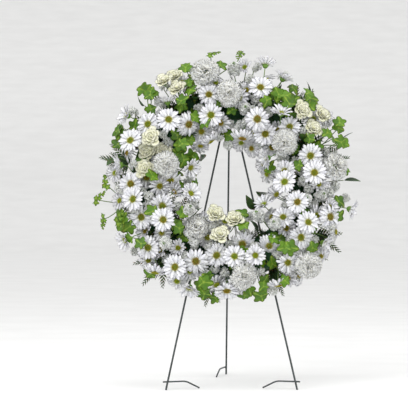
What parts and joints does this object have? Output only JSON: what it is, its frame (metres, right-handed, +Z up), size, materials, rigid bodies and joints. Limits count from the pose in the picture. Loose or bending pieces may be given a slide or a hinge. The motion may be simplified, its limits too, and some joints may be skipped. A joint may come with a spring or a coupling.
{
  "type": "standing funeral wreath",
  "caption": "Round wreath of white daisies, carnations, roses and green foliage on a foam ring, tied to a three-legged folding wire easel.",
  "frame": {"origin": "middle of the model's underside, on the floor", "axes": "+Z up, the flowers face -Y, the back leg reaches towards +Y, +X to the viewer's right from the front"},
  "size_m": [0.6968, 0.5304, 0.8884],
  "materials": {
    "enamel_wire": "semi-gloss dark green-black enamel over drawn steel wire",
    "tie_wire": "green lacquered florist's wire",
    "floral_foam": "fine-celled matt green phenolic foam, soaked",
    "ring_tray": "moulded dark green plastic, satin",
    "daisy": "thin white petals with a faint sheen, yellow-green disc",
    "carnation": "crisp matt white petals with serrated edges",
    "rose": "velvety cream petals, greener at the heart",
    "stock": "soft white florets with green calyces",
    "ivy_leaf": "smooth bright green leaves with paler veins",
    "fern": "dark green leathery fronds, slightly glossy"
  },
  "bodies": {
    "frame_and_wreath": {"carnation_01": "carnation", "carnation_02": "carnation", "carnation_03": "carnation", "carnation_04": "carnation", "carnation_05": "carnation", "carnation_06": "carnation", "carnation_07": "carnation", "carnation_08": "carnation", "cross_wire": "enamel_wire", "daisy_spray_01": "daisy", "daisy_spray_02": "daisy", "daisy_spray_03": "daisy", "daisy_spray_04": "daisy", "daisy_spray_05": "daisy", "daisy_spray_06": "daisy", "daisy_spray_07": "daisy", "daisy_spray_08": "daisy", "daisy_spray_09": "daisy", "daisy_spray_10": "daisy", "daisy_spray_11": "daisy", "daisy_spray_12": "daisy", "daisy_spray_13": "daisy", "daisy_spray_14": "daisy", "daisy_spray_15": "daisy", "daisy_spray_16": "daisy", "fern_fan_01": "fern", "fern_fan_02": "fern", "fern_fan_03": "fern", "fern_fan_04": "fern", "fern_fan_05": "fern", "fern_fan_06": "fern", "fern_fan_07": "fern", "fern_fan_08": "fern", "foam_ring": "floral_foam", "foot_step_left": "enamel_wire", "foot_step_right": "enamel_wire", "front_leg_left": "enamel_wire", "front_leg_right": "enamel_wire", "hinge_wire": "enamel_wire", "leaf_spray_01": "ivy_leaf", "leaf_spray_02": "ivy_leaf", "leaf_spray_03": "ivy_leaf", "leaf_spray_04": "ivy_leaf", "leaf_spray_05": "ivy_leaf", "leaf_spray_06": "ivy_leaf", "leaf_spray_07": "ivy_leaf", "leaf_spray_08": "ivy_leaf", "ring_tray": "ring_tray", "rose_spray_01": "rose", "rose_spray_02": "rose", "rose_spray_03": "rose", "rose_spray_04": "rose", "stock_01": "stock", "stock_02": "stock", "stock_03": "stock", "stock_04": "stock", "tie_wire_left": "tie_wire", "tie_wire_right": "tie_wire"},
    "rear_leg": {"back_leg": "enamel_wire", "foot_step_back": "enamel_wire"}
  },
  "joints": [
    {"name": "back_leg_fold", "type": "hinge", "parent": "frame_and_wreath", "child": "rear_leg", "pos_m": [0.01545, -0.00225, 0.72111], "axis": [-1, 0, 0], "range_deg": [0, 32]}
  ]
}
